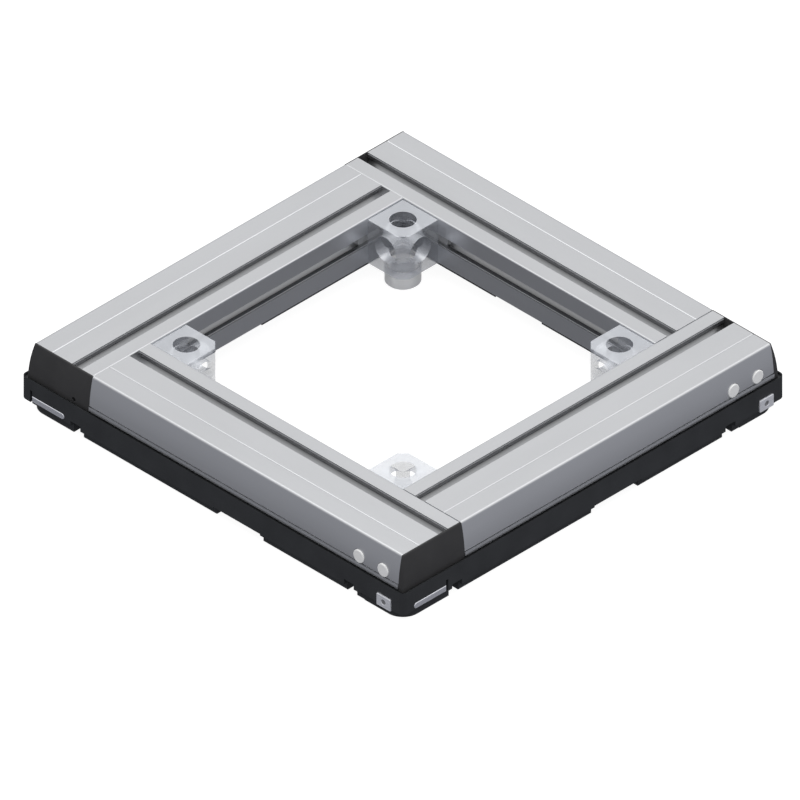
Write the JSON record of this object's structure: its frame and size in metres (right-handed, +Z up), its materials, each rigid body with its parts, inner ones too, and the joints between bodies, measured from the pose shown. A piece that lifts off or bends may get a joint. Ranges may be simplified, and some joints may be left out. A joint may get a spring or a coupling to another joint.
{
  "type": "workpiece carrier pallet",
  "caption": "Square conveyor pallet: slotted aluminium rails round an open window, black sliding frame, end caps, stop plates and clear locating blocks in the inner corners.",
  "frame": {"origin": "on the floor under the middle of the square window", "axes": "+Z up out of the top face, the front side towards -Y, the right side towards +X"},
  "size_m": [0.4574, 0.4574, 0.0644],
  "materials": {
    "aluminium": "matt natural anodised extrusion",
    "black_slide": "matt black conductive sliding plastic",
    "black_cap": "matt charcoal moulded plastic",
    "steel": "ground hardened steel",
    "screw_steel": "plated steel",
    "grey_plug": "smooth light grey moulded plastic",
    "clear_block": "clear faintly blue plastic, finely machined",
    "clear_bush": "clear faintly blue plastic, turned and milled"
  },
  "bodies": {
    "root": {"rail_front": "aluminium", "rail_right": "aluminium", "rail_rear": "aluminium", "rail_left": "aluminium", "wear_strip_front": "black_slide", "wear_strip_right": "black_slide", "wear_strip_rear": "black_slide", "wear_strip_left": "black_slide", "corner_shoe_front_right": "black_slide", "corner_shoe_rear_right": "black_slide", "corner_shoe_rear_left": "black_slide", "corner_shoe_front_left": "black_slide", "end_cap_front_right": "black_cap", "end_cap_rear_right": "black_cap", "end_cap_rear_left": "black_cap", "end_cap_front_left": "black_cap", "stop_bar_front_right": "steel", "stop_bar_rear_right": "steel", "stop_bar_rear_left": "steel", "stop_bar_front_left": "steel", "stop_plate_front_right": "steel", "stop_plate_rear_right": "steel", "stop_plate_rear_left": "steel", "stop_plate_front_left": "steel", "locating_block_front_right": "clear_block", "locating_block_rear_right": "clear_block", "locating_block_rear_left": "clear_block", "locating_block_front_left": "clear_block", "locating_bush_front_right": "clear_bush", "locating_bush_rear_right": "clear_bush", "locating_bush_rear_left": "clear_bush", "locating_bush_front_left": "clear_bush", "joint_bolts": "screw_steel", "joint_plugs": "grey_plug", "cap_screws": "screw_steel", "plate_screws": "screw_steel", "block_screws": "screw_steel", "slot_nuts": "clear_bush", "shoe_screws": "screw_steel", "strip_screws": "screw_steel"}
  },
  "joints": []
}
